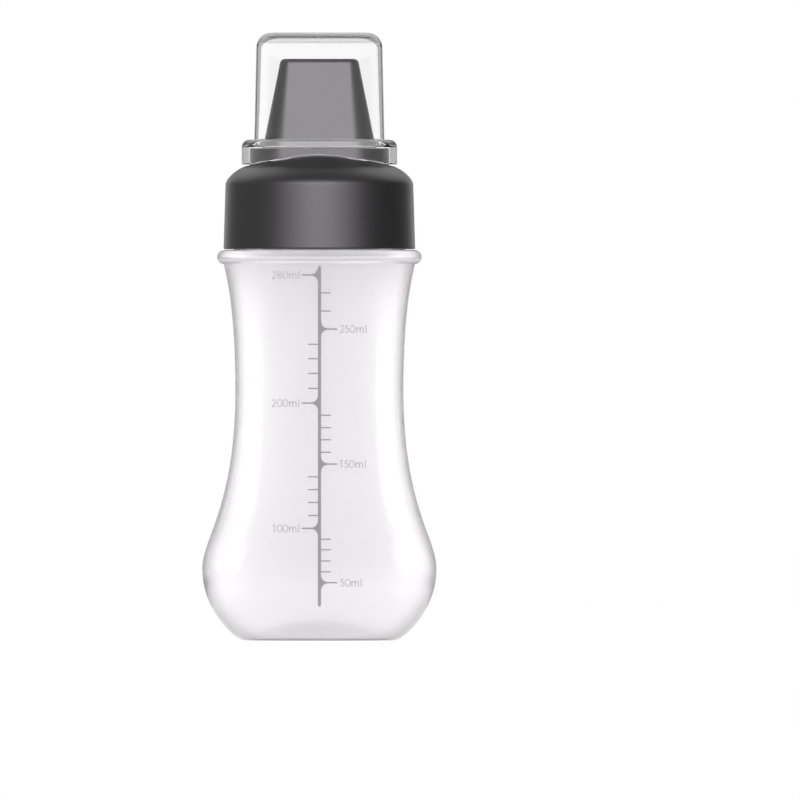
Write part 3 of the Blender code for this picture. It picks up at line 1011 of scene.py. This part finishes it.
def makeCover(finish, lining, *others):
    c = cover
    halfWidth = nozzle["footFlat"] + nozzle["footRadius"] + c["sideClearance"]
    halfDepth = nozzle["footRadius"] + c["sideClearance"]
    flat, wall, edge, draft = collar["flat"], c["wall"], c["edgeRounding"], c["draft"]
    outerWidth, outerDepth = halfWidth + wall, halfDepth + wall
    corner, skirtInner = c["corner"] - wall, collar["radius"] + c["gripGap"]
    skirtOuter, ledgeLow = skirtInner + c["skirtWall"], ledgeTop - c["ledgeFillet"] - c["ledgeStart"]
    ceiling = coverTop - c["topWall"]
    rings = roundedTop(halfWidth - draft, halfDepth - draft, corner, c["innerFillet"], ceiling)[::-1]
    rings += [
        racetrack(halfWidth, halfDepth, corner, coverRest + edge),
        racetrack(halfWidth + edge, halfDepth + edge, corner + edge, coverRest),
        stadium(flat, skirtInner, coverRest),
        skirtRing(skirtInner, edge),
        skirtRing(skirtInner + edge, 0.0),
        skirtRing(skirtOuter - edge, 0.0),
        skirtRing(skirtOuter, edge),
        stadium(flat, skirtOuter, ledgeLow),
    ]
    rings += roundedTop(flat + skirtOuter, skirtOuter, skirtOuter, c["ledgeFillet"], ledgeTop)
    rings += [
        racetrack(outerWidth + edge, outerDepth + edge, c["corner"] + edge, ledgeTop),
        racetrack(outerWidth, outerDepth, c["corner"], ledgeTop + edge),
    ]
    rings += roundedTop(outerWidth - draft, outerDepth - draft, c["corner"], c["topFillet"], coverTop)
    made = makeObject("coverShell", skinRings(rings))
    fitPiece(made, "cover", finish, "dust_cover")
    lineFaces(made, lining, coverRest + c["heartRise"])
    for other in others:
        made.data.materials.append(other)
    for face in made.data.polygons:
        x, y, z = face.center
        up = face.normal.z
        outside = abs(y) > halfDepth + wall * c["wallShare"]
        if outside and ledgeLow < z < ledgeTop + edge * c["ledgeMargin"]:
            face.material_index = 2 if abs(x) < c["mistyHalf"] else 3
            if up > c["shelfLean"] and z < ledgeTop + edge * c["shelfMargin"]:
                face.material_index = 5
        # painted shade: the outer fillet near the top and the inner fillet under the ceiling get greyer
        # finishes
        if z > coverTop - c["softTop"] and up < c["levelLean"] and face.material_index == 0:
            face.material_index = 4 if z > coverTop - c["softMiddle"] else 7
        # the inner fillet under the ceiling gets the painted grey shade
        if z > ceiling - c["ceilingDrop"] and up > -c["levelLean"] and face.material_index == 1:
            face.material_index = 6
    return made


coverFinishes = (  # name, what differs from clearLook, rimmed; in the order of the material indices
    ("clearPlastic", {}, True),
    ("clearPlasticInside", {}, False),
    ("clearPlasticLedge", {"transmission": 0.74}, True),
    ("clearPlasticLedgeEnds", {"transmission": 0.80}, True),
    # painted shade: the upper band of the outer top fillet is tinted grey
    ("clearPlasticTop", {"dark": (0.84, 0.836, 0.84), "light": (0.87, 0.866, 0.87),
                         "transmission": 0.52, "rough": 0.3}, True),
    ("clearPlasticShelf", {"transmission": 0.74}, False),
    # painted shade: the inner fillet under the ceiling is tinted grey
    ("clearPlasticCeiling", {"dark": (0.78, 0.776, 0.78), "light": (0.82, 0.816, 0.82)}, False),
    # painted shade: the lower band of the outer top fillet is tinted a darker grey
    ("clearPlasticTopLow", {"dark": (0.72, 0.716, 0.72), "light": (0.76, 0.756, 0.76),
                            "transmission": 0.72, "rough": 0.3}, True),
)
coverShell = makeCover(*(seeThroughPlastic(name, {**clearLook, **changed}, rimmed)
                         for name, changed, rimmed in coverFinishes))
print("cover made,", len(coverShell.data.polygons), "faces")


# Studio: a pale floor, soft lights and a white backdrop

studio = {
    "floorRadius": 1.6,
    "floorSteps": 96,
    "floorDrop": 0.0002,
    "paintDark": (0.97, 0.97, 0.97),
    "paintLight": (0.99, 0.99, 0.99),
    "paintRough": (0.7, 0.85),
    # painted reflection: the floor's colour as gloss sees it, far darker than the floor itself
    "paintedReflectionTone": (0.10, 0.10, 0.10),
    "contactSpan": (-0.0006, 0.0002),   # from the foot's radius, where the floor is painted dark under it: a painted contact shadow
    "contactShadowTone": (0.34, 0.33, 0.34),
    "farSpan": (0.08, 0.20),            # how far out gloss starts to reflect the floor as dark
    "sideSpan": (0.12, 0.32),           # and how far aside it does so less
    "sideFloor": 0.6,
    "height": 0.13,                     # the soft lights' own, before their lift
    "tint": (1.0, 0.945, 1.0),
    "overhead": 0.36,                   # how much a direction's height counts as behind
    "behindSpan": (0.25, 0.8),
    "leftSpan": (-0.4, -0.95),
    "highSpan": (0.3, 0.6),
    "darkSide": 0.01,
    "leftSide": 0.75,
    "backdrop": 0.42,
    "highBackdrop": 2.4,
    "diffuseLift": 0.15,
}
lamps = {  # turned by degrees from the camera's side
    "core": {"turn": 0.0, "size": (1.0, 1.7), "watts": 31.0, "distance": 1.30, "lift": 0.35},
    "wide": {"turn": 0.0, "size": (2.7, 1.8), "watts": 99.0, "distance": 1.35, "lift": 0.35},
    "nozzle": {"turn": -2.0, "size": (0.7, 1.0), "watts": 54.0, "distance": 1.40, "lift": 0.42},
    "rim": {"turn": 155.0, "size": (0.5, 0.8), "watts": 1.8, "distance": 1.3, "lift": 0.0},
    "band": {"turn": 98.0, "size": (0.58, 1.0), "watts": 6.9, "distance": 1.2, "lift": 0.0},
    "veil": {"turn": 0.0, "size": (0.7, 0.7), "watts": 0.15, "distance": 1.25, "lift": 0.0},
}


def makeFloor():
    mesh = bmesh.new()
    rim = circleRing(studio["floorRadius"], 0.0, studio["floorSteps"])
    mesh.faces.new([mesh.verts.new(point) for point in rim])
    floor = makeObject("studioFloor", mesh)
    finish, tree, shader = newFinish("floorPaint", {"Metallic": 0.0, "Specular IOR Level": 0.2})
    grain = placeGroup(tree, mouldGrain, {"Grains per metre": 300.0, "Patches per metre": 8.0})
    place = placeOf(tree)
    away = addNode(tree, "ShaderNodeVectorMath", {0: place}, "LENGTH").outputs["Value"]
    apart = mathOf(tree, "ABSOLUTE", partsOf(tree, place)["X"])
    # painted contact shadow: the floor's colour turns dark under the bottle's foot ring
    inner, outer = (bottle["footRadius"] + end for end in studio["contactSpan"])
    contact = rangeOf(tree, away, 1.0, 0.0, inner, outer)
    # painted reflection: to gloss the floor is dark from farSpan out, and less so to the side
    far = rangeOf(tree, away, 0.0, 1.0, *studio["farSpan"])
    kept = rangeOf(tree, apart, 1.0, studio["sideFloor"], *studio["sideSpan"])
    dark = mathOf(tree, "MULTIPLY", mathOf(tree, "MULTIPLY", mirroredOf(tree)[1], far), kept)
    tone = mixColours(tree, studio["paintDark"], studio["paintLight"], grain["Mask"])
    shaded = mixColours(tree, tone, studio["contactShadowTone"], contact)
    fillInputs(tree, shader, {
        "Base Color": mixColours(tree, shaded, studio["paintedReflectionTone"], dark),
        "Roughness": rangeOf(tree, grain["Mask"], *studio["paintRough"]),
    })
    floor.data.materials.append(finish)
    floor.location.z = -studio["floorDrop"]


def makeSoftbox(name, kind, lit, side):  # lights only these pieces
    settings = lamps[kind]
    lamp = bpy.data.lights.new(name, "AREA")
    lamp.shape, lamp.energy = "RECTANGLE", settings["watts"]
    lamp.size, lamp.size_y = settings["size"]
    lamp.color = studio["tint"]
    box = bpy.data.objects.new(name, lamp)
    turn = math.radians(settings["turn"] * side)
    aim = Vector((math.sin(turn), -math.cos(turn), 0))
    box.location = Vector((0, 0, studio["height"] + settings["lift"])) + aim * settings["distance"]
    box.rotation_euler = aim.to_track_quat("Z", "Y").to_euler()
    box.visible_camera = False
    box.visible_transmission = False
    bpy.context.scene.collection.objects.link(box)
    chosen = bpy.data.collections.new(name + "Lit")
    for piece in lit:
        chosen.objects.link(piece)
    box.light_linking.receiver_collection = chosen


def makeBackdrop():  # white behind, darker in front of the bottle for what its gloss reflects
    world = bpy.data.worlds.new("studioBackdrop")
    bpy.context.scene.world = world
    world.use_nodes = True
    world.cycles.sampling_method = "NONE"
    tree = world.node_tree
    parts = partsOf(tree, addNode(tree, "ShaderNodeTexCoord").outputs["Generated"])
    over = mathOf(tree, "MULTIPLY_ADD", parts["Z"], studio["overhead"], parts["Y"])
    ray, mirrored = mirroredOf(tree)
    behind = rangeOf(tree, over, 0.0, 1.0, *studio["behindSpan"], "SMOOTHSTEP")
    front = rangeOf(tree, parts["X"], studio["darkSide"], studio["leftSide"], *studio["leftSpan"])
    back = rangeOf(tree, parts["Z"], studio["backdrop"], studio["highBackdrop"], *studio["highSpan"])
    seen = mixOf(tree, 1.0, mixOf(tree, front, back, behind), mirrored)
    bright = mathOf(tree, "MULTIPLY_ADD", ray["Is Diffuse Ray"], studio["diffuseLift"], seen)
    fillInputs(tree, tree.nodes["Background"], {"Color": (1.0, 1.0, 1.0), "Strength": bright})


makeFloor()
makeBackdrop()
for name, kind, lit, side in (
    ("lidCore", "core", (lidShell, sealRing), 1),
    ("lidWide", "wide", (lidShell, sealRing), 1),
    ("nozzleKey", "nozzle", (nozzleShell,), 1),
    ("leftRim", "rim", (lidShell, sealRing), -1),
    ("rightRim", "rim", (lidShell, sealRing), 1),
    ("leftBand", "band", (bottleShell,), -1),
    ("rightBand", "band", (bottleShell,), 1),
    ("coverVeil", "veil", (coverShell,), 1),
):
    makeSoftbox(name, kind, lit, side)
for piece in (coverShell, bottleShell):
    piece.visible_shadow = piece.visible_diffuse = False
bpy.context.scene.view_settings.view_transform = "Standard"
print("studio lit")


# Camera: level, straight in front, with a long lens

shot = {
    "lens": 1450.0,
    "sensor": 36.0,
    "pixels": 800,
    "pixelSize": 0.000314,    # at the bottle's axis
    "axisPixel": 319.4,       # from the picture's left
    "footPixel": 639.5,       # from its top
}


def makeCamera():
    view = bpy.data.cameras.new("shotCamera")
    view.lens, view.sensor_width = shot["lens"], shot["sensor"]
    camera = bpy.data.objects.new("shotCamera", view)
    pixel, middle = shot["pixelSize"], shot["pixels"] / 2
    distance = shot["pixels"] * pixel * shot["lens"] / shot["sensor"]
    aside, up = (middle - shot["axisPixel"]) * pixel, (shot["footPixel"] - middle) * pixel
    camera.location = (aside, -distance, up)
    camera.rotation_euler = (math.pi / 2, 0.0, 0.0)
    bpy.context.scene.collection.objects.link(camera)
    bpy.context.scene.camera = camera


makeCamera()
